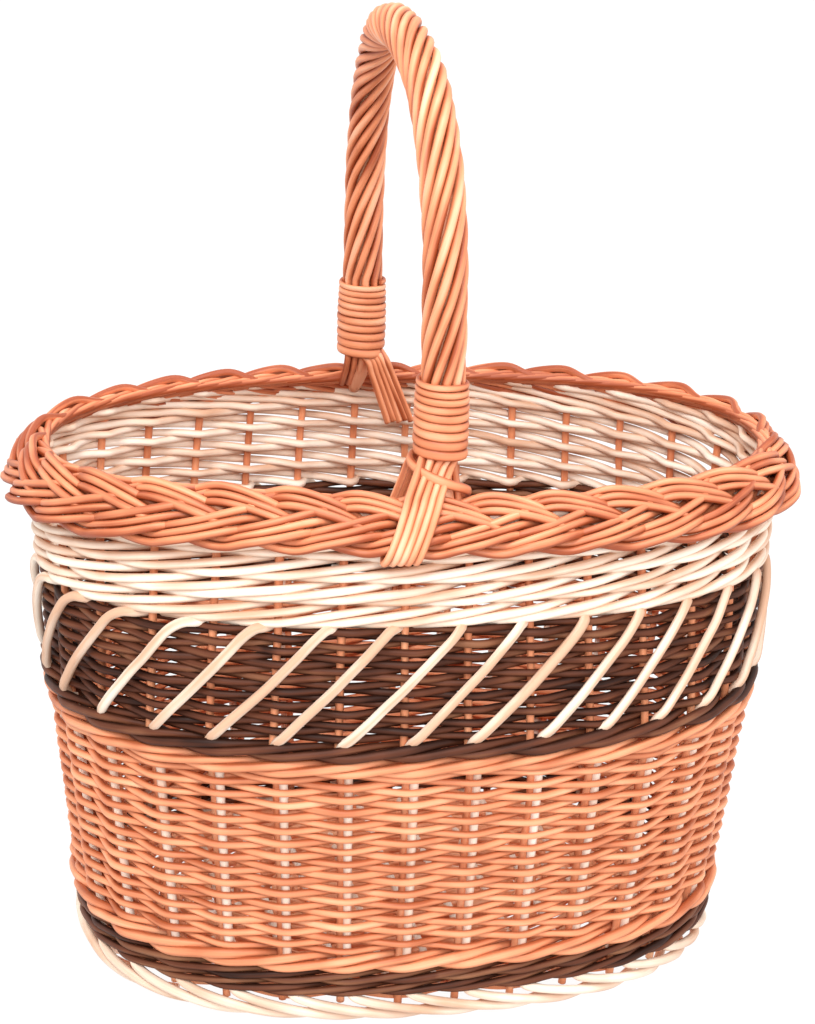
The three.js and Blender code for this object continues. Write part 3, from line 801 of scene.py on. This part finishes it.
def make_wales(buff, brown):
    outward = LINER_OUT + LINER_RADIUS
    inward = STAKE_IN - STAKE_RADIUS
    proud = STAKE_RADIUS + MID_WALE_PROUD
    for name, material, slot, low, radius, rounds, out_side, in_side in (
            ("bottom_wale", brown, "willow_brown", BOTTOM_WALE_Z, BOTTOM_WALE_RADIUS, 2, outward, inward),
            ("lower_wale", buff, "willow_buff", LOWER_WALE_Z, LOWER_WALE_RADIUS, 1, outward, inward),
            ("upper_wale", buff, "willow_buff", UPPER_WALE_Z, UPPER_WALE_RADIUS, 1, outward, inward),
            ("mid_wale", brown, "willow_brown", MID_WALE_Z, MID_WALE_RADIUS, 1, proud, -STAKE_RADIUS)):
        rods = Rods()
        reach = radius + HAIR
        for row in range(rounds):
            wale(rods, low + radius * (2 + 4 * row), radius, out_side + reach, in_side - reach, row)
        rods.build(name, material, slot, name)


def make_main_randing(material):
    rods = Rods()
    outward = LINER_OUT + LINER_RADIUS + RANDING_RADIUS - BEDDING
    inward = STAKE_IN - STAKE_RADIUS - RANDING_RADIUS + BEDDING
    randing(rods, RANDING_Z, UPPER_WALE_Z, RANDING_ROWS, RANDING_RADIUS, outward, inward, RANDING_Z_DRIFT)
    rods.build("main_randing", material, "willow_buff", "main_randing")


def make_dark_randing(material):
    rods = Rods()
    reach = STAKE_RADIUS + DARK_RADIUS - BEDDING
    randing(rods, DARK_Z, cream_low(ring_stations()), DARK_ROWS, DARK_RADIUS, reach, -reach, DARK_Z_DRIFT)
    rods.build("dark_randing", material, "willow_brown", "dark_randing")


# Cream band
def diagonal(i):
    """The slanting part of a cream rod, from above the dark wale to where it tucks in behind a stake."""
    reach = DIAGONAL_REACH[0] + DIAGONAL_REACH[1] * abs(np.sin(angle_at(i))) ** DIAGONAL_ROUNDING
    lean = reach + rng.uniform(-DIAGONAL_REACH_SPREAD, DIAGONAL_REACH_SPREAD)
    start = DIAGONAL_START + rng.uniform(-DIAGONAL_START_SPREAD, DIAGONAL_START_SPREAD)
    top = cream_low(np.array(i + lean))
    keys = [(start + along, DARK_Z + rise, out) for along, rise, out in DIAGONAL_ROOT]
    for part in np.linspace(*DIAGONAL_PARTS):
        stake = start + DIAGONAL_LEAD + (lean - start - DIAGONAL_LEAD) * part
        out = DIAGONAL_OUT - DIAGONAL_FOOT_BEND * (1 - part) ** 3 - DIAGONAL_TOP_BEND * part ** 7
        keys.append((stake + rng.uniform(-DIAGONAL_SPREAD, DIAGONAL_SPREAD),
                     DARK_Z + (top - DIAGONAL_TOP_GAP - DARK_Z) * part, out))
    rest = FIRST_STAKE - TUCK_GAP - lean
    keys += [(lean + part * rest, top + rise, out) for part, rise, out in DIAGONAL_TUCK]
    stake, z, out = columns(keys)
    return wall(i + stake, z, out)


def make_cream_band(material):
    """Each cream rod leans over the dark weave and is then woven in, climbing round the wall."""
    rods = Rods()
    weave = spline(CREAM_WEAVE, CURVE_STEPS)
    steps = np.arange(0, CREAM_CLIMB + CREAM_RUN_ON, CREAM_STEP)
    turn = steps % CREAM_WEAVE[-1][0]
    out = np.interp(turn, weave[:, 0], weave[:, 1])
    out = np.minimum(out, np.interp(steps, (CREAM_CLIMB, CREAM_CLIMB + CREAM_LEAVE), (1, CREAM_END_OUT)))
    reach = out * (STAKE_RADIUS + CREAM_RADIUS + HAIR)
    spread = np.interp(turn, weave[:, 0], weave[:, 2]) * CREAM_SPREAD
    for i in range(STAKES):
        slant = diagonal(i)
        around = i + FIRST_STAKE + steps
        low = cream_low(around)
        climb = low + CREAM_LIFT + (WALL_TOP - low) / CREAM_CLIMB * steps + spread
        climb = climb + wander(len(steps), *CREAM_Z_DRIFT)
        path = spline(np.concatenate([slant, wall(around, climb, reach)[::2]]), CREAM_SMOOTHING)
        woven = np.arange(len(path)) / CREAM_SMOOTHING - len(slant)
        radius = np.interp(woven, CREAM_THINNING, (DIAGONAL_RADIUS, CREAM_RADIUS))
        radius = radius * uneven(len(path), CREAM_THICKNESS)
        tone = rng.uniform(*CREAM_TONE) + wander(len(path), *CREAM_TONE_DRIFT)
        side = np.interp(woven, np.arange(len(out[::2])), out[::2])
        # painted shade: darker where the rod runs inside the stakes
        tone = tone + INNER_SHADE * np.interp(side, INNER_SIDE, (1, 0))
        blend = np.interp(woven, CREAM_TURNING, (0, 1))[:, None]
        guide = UP * blend + unit(path * (1, 1, 0)) * (1 - blend)
        rods.add(path, radius, unit(guide), tone=tone, touch="above")
    rods.build("cream_band", material, "willow_cream", "cream_band")


# Plaited border
def border_frame(turn):
    """Middle, downward and facing directions of the sloping plait, from the part of the way round."""
    stake = turn * STAKES - STAKE_PHASE
    normal = wall_normal(stake, WALL_TOP)
    end = (np.cos(angle_at(stake)) ** 2)[..., None]
    tilt = BORDER_TILT + (BORDER_END_TILT - BORDER_TILT) * end
    down = normal * np.cos(tilt) - UP * np.sin(tilt)
    face = normal * np.sin(tilt) + UP * np.cos(tilt)
    centre = wall(stake, WALL_TOP, BORDER_OUT + (BORDER_END_OUT - BORDER_OUT) * end[..., 0])
    centre[..., 2] += BORDER_Z - WALL_TOP
    return centre, down, face


def plait_rise(phase):
    return -np.tanh(PLAIT_SHARPNESS * np.sin(2 * phase)) / np.tanh(PLAIT_SHARPNESS)


def make_border(material):
    count = PLAIT_PERIODS * PLAIT_POINTS
    turns = np.arange(count) / count
    centre, down, face = border_frame(turns)
    for strand in range(PLAIT_STRANDS):
        rods = Rods()
        phase = 2 * np.pi * (turns * PLAIT_PERIODS + strand / PLAIT_STRANDS)
        swing = PLAIT_SWING * (np.sin(phase) - PLAIT_SQUARENESS * np.sin(3 * phase))
        middle = centre + down * swing[:, None]
        along, _ = lengthwise(middle, closed=True)
        across = unit(np.cross(face, along))
        for rod in (-1, 0, 1):
            shift = rod * PLAIT_PITCH + wander(count, *PLAIT_SHIFT_DRIFT, closed=True)
            rise = PLAIT_LIFT * plait_rise(phase + PLAIT_LEAD * rod * np.cos(phase))
            rise = rise - PLAIT_LEAN * rod * np.cos(phase) + wander(count, *PLAIT_RISE_DRIFT, closed=True)
            path = middle + across * shift[:, None] + face * rise[:, None]
            thickness = PLAIT_RADIUS * uneven(count, PLAIT_THICKNESS, closed=True)
            tone = rng.uniform(*PLAIT_TONE) + wander(count, *PLAIT_TONE_DRIFT, closed=True)
            rods.add(path, thickness, face, closed=True, tone=tone, touch="beside")
        name = f"border_strand_{strand + 1:02d}"
        rods.build(name, material, "willow_handle", name)


def make_border_inner_rods(material):
    rods = Rods()
    step, way_down, lift = columns(CREST_PATH)
    for crest in range(CRESTS):
        for rod in CREST_RODS:
            turn = (crest + rod + step + rng.uniform(-CREST_SPREAD, CREST_SPREAD)) / CRESTS
            centre, down, face = border_frame(turn)
            path = spline(centre + down * way_down[:, None] + face * lift[:, None], SPLINE_STEPS)
            radius = PLAIT_RADIUS * uneven(len(path), CREST_THICKNESS)
            rods.add(path, radius, UP, touch="beside", tone=rng.uniform(*CREST_TONE))
    rods.build("border_inner_rods", material, "willow_handle")


# Handle
def handle_axis():
    """Across, height and turn along the handle's line, with the part of its length at each point."""
    legs = np.linspace(WHIP_TOP[1], ARCH_Z, LEG_POINTS, endpoint=False)
    turn = np.linspace(0, np.pi, ARCH_POINTS)
    front = np.stack([np.full(LEG_POINTS, -LEG_SPAN), legs, np.zeros(LEG_POINTS)], -1)
    y, z = -LEG_SPAN * np.cos(turn), ARCH_Z + ARCH_RISE * np.sin(turn)
    lean = np.arctan2(LEG_SPAN * np.sin(turn), ARCH_RISE * np.cos(turn))
    arch = np.stack([y, z, lean], -1)
    back = np.stack([np.full(LEG_POINTS, LEG_SPAN), legs[::-1], np.full(LEG_POINTS, np.pi)], -1)
    axis = np.concatenate([front, arch, back])
    length = np.concatenate([[0], np.cumsum(np.hypot(np.diff(axis[:, 0]), np.diff(axis[:, 1])))])
    return axis, length / length[-1]


AXIS, AXIS_PART = handle_axis()


def axis_at(part):
    """Place and outward direction of the handle's line, whose arch leans to the left above upright legs."""
    y, z, turn = (np.interp(part, AXIS_PART, AXIS[:, k]) for k in range(3))
    keys = spline([(0, LEG_X[-1]), (LEG_PART, LEG_X[-1] - LEG_LEAN), (SHOULDER_PART, ARCH_SHOULDER_X),
                   (0.5, ARCH_X), (1 - SHOULDER_PART, ARCH_SHOULDER_X), (1 - LEG_PART, LEG_X[1] - LEG_LEAN),
                   (1, LEG_X[1])], LEAN_STEPS)
    place = np.stack([np.interp(part, keys[:, 0], keys[:, 1]), y, z], -1)
    out = np.stack([np.zeros_like(y), -np.cos(turn), np.sin(turn)], -1)
    return place, out


def leg_point(side, x, out, z):
    return np.array((LEG_X[side] + x, side * (LEG_SPAN + out), z))


def border_place(x, down, lift):
    """A point of the plaited border in front of a leg, from its place across and above the plait."""
    out = TOP_HALF[1] + BORDER_OUT + down * np.cos(BORDER_TILT) + lift * np.sin(BORDER_TILT)
    z = BORDER_Z - down * np.sin(BORDER_TILT) + lift * np.cos(BORDER_TILT)
    return x, out - LEG_SPAN, z


def outer_foot(row_x, bottom, start):
    """From under the whipping over the border and round its edge, leaning to the left all the way down."""
    places = [start, (row_x, OUTER_START[0], bottom + OUTER_START[1])]
    places += [border_place(row_x, down, FOOT_PROUD + lift) for down, lift in OVER_BORDER]
    places += [border_place(row_x, FOOT_EDGE + down, lift) for down, lift in ROUND_EDGE]
    fall = [z - OUTER_SLOPE * out for _, out, z in places]
    part = np.clip((fall[0] - np.array(fall)) / (fall[0] - fall[-3]), 0, OUTER_RUN_ON)
    return [(x + OUTER_LEAN * p, out, z) for (x, out, z), p in zip(places, part)]


def inner_foot(row_x, bottom, start):
    """From under the whipping straight down the inside of the border, fanning out to the right."""
    end = WALL_TOP + INNER_END + rng.uniform(-INNER_END_SPREAD, INNER_END_SPREAD)
    places = [start]
    for part in np.linspace(*INNER_PARTS):
        fan = INNER_X + row_x * (INNER_FAN[0] + INNER_FAN[1] * part) + INNER_LEAN * part
        out = INNER_OUT[0] - ROPE_RADIUS + INNER_OUT[1] * part
        places.append((fan, out, bottom + (end - bottom) * part))
    return places


def rod_foot(slot, side):
    """One wrapping rod under the whipping and below it: five go over the border, five end inside."""
    angle = (slot - MIDDLE_SLOT) * 2 * np.pi / ROD_COUNT
    x, out = ROPE_RADIUS * np.sin(angle), ROPE_RADIUS * np.cos(angle)
    bottom = WHIP_BOTTOM[side]
    start = (side * x, out, bottom + SPLAY_START)
    if slot < FOOT_RODS:
        row_x = side * (slot - MIDDLE_SLOT) * FOOT_ROD_PITCH
        places = outer_foot(row_x, bottom, start)
    else:
        row_x = side * (FOOT_RODS + MIDDLE_SLOT - slot) * FOOT_ROD_PITCH
        places = inner_foot(row_x, bottom, start)
    points = [leg_point(side, x, out, WHIP_TOP[side] - UNDER_WHIP_TOP),
              leg_point(side, x, out, bottom + OVER_WHIP_BOTTOM)]
    return np.array(points + [leg_point(side, side * px, o, z) for px, o, z in places])


def make_handle_core(material):
    """The thick rod inside the handle, and short rods that fill each foot below the whipping."""
    core = Rods(FINE_SIDES)
    place, _ = axis_at(np.linspace(0, 1, BOW_POINTS))
    ends = [(out, BORDER_Z + rise, radius) for out, rise, radius in BOW_FOOT]
    ends += [(0.0, WHIP_BOTTOM[-1], BOW_RADIUS), (0.0, WHIP_TOP[1] - BOW_SPLICE, BOW_RADIUS)]
    front = [leg_point(-1, 0, out, z) for out, z, _ in ends]
    back = [leg_point(1, 0, out, z) for out, z, _ in ends[::-1]]
    thickness = [radius for _, _, radius in ends]
    thickness = thickness + [BOW_RADIUS] * len(place) + thickness[::-1]
    core.add(np.concatenate([front, place, back]), thickness, (1, 0, 0))
    for side in (-1, 1):
        heights = [(out, WHIP_BOTTOM[side] + rise) for out, rise in CORE_ROD_PATH]
        heights.append((CORE_ROD_END[0], BORDER_Z + CORE_ROD_END[1]))
        for column in range(CORE_RODS):
            x = side * (FOOT_ROD_PITCH * column + CORE_ROD_X)
            foot = [leg_point(side, x, out, z) for out, z in heights]
            core.add(spline(foot, SPLINE_STEPS), FOOT_ROD_RADIUS, (1, 0, 0), touch="above")
    core.build("handle_bow", material, "willow_handle", "handle_bow")


def twist_turns(part):
    """Share of the whole twist along the handle, which is wound faster over the arch."""
    pace = np.interp(part, TWIST_PARTS, TWIST_PACE)
    turned = np.concatenate([[0], np.cumsum((pace[1:] + pace[:-1]) / 2)])
    return turned / turned[-1]


def make_handle_rods(material):
    """Each rod runs from foot to foot, wound round the core on the way."""
    part = np.linspace(0, 1, ROPE_POINTS)
    twist = TWIST_SLOTS * twist_turns(part)
    place, out = axis_at(part)
    for rod in range(ROD_COUNT):
        rods = Rods(ROUND_SIDES)
        turn_drift = wander(len(part), *ROPE_TURN_DRIFT) * np.sin(np.pi * part)
        angle = 2 * np.pi / ROD_COUNT * (rod - MIDDLE_SLOT + twist) + turn_drift
        reach = ROPE_RADIUS + wander(len(part), *ROPE_REACH_DRIFT)
        body = place + out * (reach * np.cos(angle))[:, None]
        body[:, 0] += reach * np.sin(angle)
        front = spline(np.concatenate([rod_foot(rod, -1)[::-1], body[:2]]), FOOT_STEPS)[:-FOOT_STEPS - 1]
        far_slot = (rod + TWIST_SLOTS) % ROD_COUNT
        back = spline(np.concatenate([body[-2:], rod_foot(far_slot, 1)]), FOOT_STEPS)[FOOT_STEPS + 1:]
        path = np.concatenate([front, body, back])
        axis = np.concatenate([front * UP + (LEG_X[-1], -LEG_SPAN, 0), place,
                               back * UP + (LEG_X[1], LEG_SPAN, 0)])
        count = len(path)
        ends = np.minimum(np.arange(count), np.arange(count)[::-1])
        taper = np.clip((ends - TAPER_START) / TAPER_LENGTH, 0, 1)
        thickness = FOOT_ROD_RADIUS + (ROD_RADIUS - FOOT_ROD_RADIUS) * taper
        # painted light: paler towards the front foot
        painted_light = np.interp(np.arange(count) / count, ROPE_PAINTED_LIGHT_AT, ROPE_PAINTED_LIGHT)
        tone = ROPE_TONE[0] + ROPE_TONE[1] * ((rod * ROPE_TONE_STEP) % 1) + painted_light
        tone = tone + wander(count, *ROPE_TONE_DRIFT)
        thickness = thickness * uneven(count, ROPE_THICKNESS)
        rods.add(path, thickness, unit(path - axis), tone=tone, touch="beside")
        name = f"handle_rod_{rod + 1:02d}"
        rods.build(name, material, "willow_handle", name)


def whipping_strap(side):
    """The loose end of the front winding: slanting over the splayed rods, round them and in behind."""
    degrees, radius, fall = columns(STRAP_PATH)
    angle = np.radians(degrees)
    return np.stack([LEG_X[side] - side * radius * np.sin(angle), side * (LEG_SPAN + radius * np.cos(angle)),
                     WHIP_BOTTOM[side] - fall], -1)


def make_whipping(material, side, name):
    """Flat winding round a leg, with wider turns at the foot."""
    rods = Rods(FINE_SIDES)
    turns = WHIP_TURNS[side]
    turn = np.linspace(0, turns, turns * WHIP_STEPS + 1)
    pitch = (WHIP_TOP[side] - WHIP_BOTTOM[side]) / turns
    first, last = WHIP_PITCHES[0] * pitch, WHIP_PITCHES[1] * pitch
    drop = first * turn + (last - first) / (2 * turns) * turn ** 2
    part = turn / turns
    swell = WHIP_RADIUS + WHIP_FLARE * part + WHIP_BELLY * np.sin(np.pi * part)
    swell = swell + wander(len(turn), *WHIP_SWELL_DRIFT)
    angle = 2 * np.pi * turn - WHIP_START * np.pi
    height = WHIP_TOP[side] - WHIP_INSET - drop + wander(len(turn), *WHIP_Z_DRIFT)
    x, y = LEG_X[side] - side * swell * np.sin(angle), side * (LEG_SPAN + swell * np.cos(angle))
    path = np.stack([x, y, height], -1)
    wide = 0.5 * (first + (last - first) * part)
    thick = np.full(len(turn), WHIP_FLAT)
    if side < 0:
        tail = spline(np.concatenate([path[STRAP_LEAD], whipping_strap(side)]), STRAP_STEPS)[STRAP_CUT:]
        shrink = np.linspace(0, 1, len(tail))
        narrow = wide[-1] * (1 - shrink) ** 0.5 * STRAP_NARROWING + STRAP_HALF_WIDTH
        path = np.concatenate([path[:-1], tail])
        wide = np.concatenate([wide[:-1], narrow])
        thick = np.concatenate([thick[:-1], np.interp(shrink, STRAP_PARTS, STRAP_THICKNESS)])
    radial = (path - (LEG_X[side], side * LEG_SPAN, 0)) * (1, 1, 0)
    tone = wander(len(path), *WHIP_TONE_DRIFT) + WHIP_TONE
    rods.add(path, thick, unit(radial), wide=wide, tone=tone, touch="beside")
    rods.build(name, material, "willow_handle", name)


# Bottom
def oval_reach(part):
    """Half width of the bottom's oval, as a share, at a share of its other half."""
    return (1 - abs(part) ** PLAN_EXPONENT) ** (1 / PLAN_EXPONENT)


def make_slath(material):
    """Long sticks under crossing ones, with a fan of sticks towards each end."""
    sticks = Rods()
    a, b = FOOT_HALF[0] - SLATH_GAP, FOOT_HALF[1] - SLATH_GAP
    low, high = BASE_Z - LONG_STICK_DROP, BASE_Z + CROSS_STICK_LIFT
    for y in LONG_STICKS:
        x = a * oval_reach(y / b)
        sticks.add(np.linspace((-x, y, low), (x, y, low), LONG_STICK_POINTS), STICK_RADIUS, UP)
    for x in np.linspace(-CROSS_REACH, CROSS_REACH, CROSS_STICKS) * a:
        y = b * oval_reach(x / a)
        sticks.add(np.linspace((x, -y, high), (x, y, high), CROSS_STICK_POINTS), STICK_RADIUS, UP)
    for angle in FAN_ANGLES:
        for t in (angle, angle + np.pi):
            tip = (a * FAN_TIP[0] * np.cos(t), b * FAN_TIP[1] * np.sin(t), BASE_Z)
            root = (np.sign(np.cos(t)) * a * FAN_ROOT_REACH, FAN_ROOT_Y * np.sign(np.sin(t)), BASE_Z)
            sticks.add(np.linspace(root, tip, FAN_POINTS), FAN_RADIUS, UP)
    sticks.build("base_slath", material, "willow_cream", "base_slath")


def make_base_weave(material):
    """Rings woven over and under the sticks, from the wall in to the heart of the bottom."""
    rods = Rods(BASE_SIDES)
    stations = ring_stations(steps=BASE_STEPS_PER_STAKE)
    edge = wall(stations, BASE_Z, -BASE_GAP)
    length, width = FOOT_HALF[0] - BASE_GAP, FOOT_HALF[1] - BASE_GAP
    for row in range(BASE_RINGS):
        inset = (width - BASE_HEART) / (BASE_RINGS - 1) * row
        ring = edge * (1 - inset / length, 1 - inset / width, 1)
        wave = BASE_WAVE * min(1.0, 2 - 2 * row / BASE_RINGS)
        ring[:, 2] = BASE_Z + wave * np.cos(np.pi * (stations + row))
        rods.add(ring, BASE_RING_RADIUS, UP, closed=True, tone=ring_tone(len(stations)))
    rods.build("base_weave", material, "willow_buff", "base_weave")


# Studio
def make_stage():
    bpy.ops.mesh.primitive_plane_add(size=FLOOR_SIZE, location=(0, 0, 0))
    floor = bpy.context.object
    floor.name = "floor"
    material = bpy.data.materials.new("floor_paper")
    material.use_nodes = True
    shader = material.node_tree.nodes["Principled BSDF"]
    shader.inputs["Base Color"].default_value = FLOOR_COLOUR
    shader.inputs["Roughness"].default_value = FLOOR_ROUGHNESS
    shader.inputs["Emission Color"].default_value = WHITE
    shader.inputs["Emission Strength"].default_value = FLOOR_GLOW
    floor.data.materials.append(material)


def area_light(name, place, target, size, power):
    data = bpy.data.lights.new(name, "AREA")
    data.shape = "DISK"
    data.size = size
    data.energy = power
    light = bpy.data.objects.new(name, data)
    light.location = place
    light.rotation_euler = (Vector(target) - Vector(place)).to_track_quat("-Z", "Y").to_euler()
    bpy.context.scene.collection.objects.link(light)


def make_light():
    world = bpy.data.worlds.new("studio")
    bpy.context.scene.world = world
    world.use_nodes = True
    background = world.node_tree.nodes["Background"]
    background.inputs["Color"].default_value = WHITE
    background.inputs["Strength"].default_value = WORLD_STRENGTH
    for light in LIGHTS:
        area_light(*light)
    bpy.context.scene.view_settings.view_transform = "Standard"


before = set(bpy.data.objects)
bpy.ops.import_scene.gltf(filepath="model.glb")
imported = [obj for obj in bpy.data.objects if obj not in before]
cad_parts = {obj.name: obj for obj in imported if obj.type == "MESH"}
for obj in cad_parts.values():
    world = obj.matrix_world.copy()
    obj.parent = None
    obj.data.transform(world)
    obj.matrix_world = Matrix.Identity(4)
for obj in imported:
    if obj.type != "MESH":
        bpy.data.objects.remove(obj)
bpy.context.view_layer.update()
aim_camera()
buff = willow("willow_buff_rods", *BUFF)
handle_buff = willow("willow_handle_rods", *HANDLE_BUFF)
cream = willow("willow_cream_rods", *CREAM)
brown = willow("willow_brown_rods", *BROWN)
make_stakes(buff)
make_liners_and_foot(cream)
make_wales(buff, brown)
make_main_randing(buff)
make_dark_randing(brown)
make_cream_band(cream)
make_border(handle_buff)
make_border_inner_rods(handle_buff)
make_handle_core(handle_buff)
make_handle_rods(handle_buff)
make_whipping(handle_buff, -1, "whipping_front")
make_whipping(handle_buff, 1, "whipping_back")
make_slath(cream)
make_base_weave(buff)
make_stage()
make_light()
